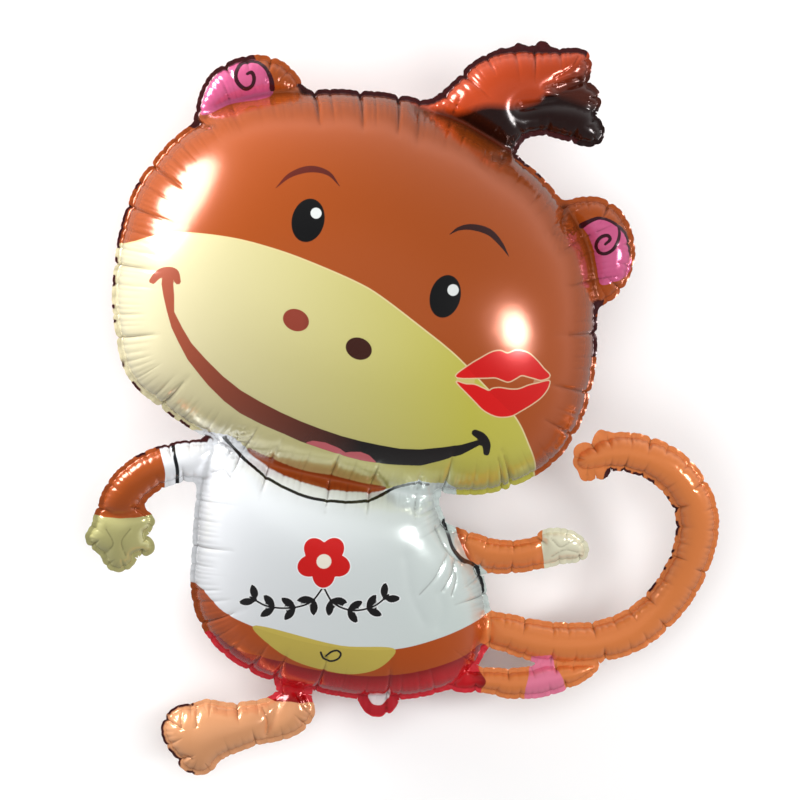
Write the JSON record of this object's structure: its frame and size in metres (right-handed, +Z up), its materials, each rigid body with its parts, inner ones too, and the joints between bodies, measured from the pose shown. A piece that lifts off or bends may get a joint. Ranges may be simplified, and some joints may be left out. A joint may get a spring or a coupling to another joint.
{
  "type": "monkey foil balloon",
  "caption": "Blown-up foil balloon of a cartoon monkey in a shirt and shorts, with a curled tail, a welded rim and a flat filling tab.",
  "frame": {"origin": "middle of the bounding box, on the floor that the balloon's back lies on", "axes": "+X towards the curled tail, +Y from the feet to the hair, +Z up out of the face and the shirt front"},
  "size_m": [0.7334, 0.8504, 0.2958],
  "materials": {
    "printed_foil": "printed metallised film, glossy, copper brown on the head and limbs, cream, white, red and pink where printed so"
  },
  "bodies": {
    "root": {"foil_balloon": "printed_foil"}
  },
  "joints": []
}
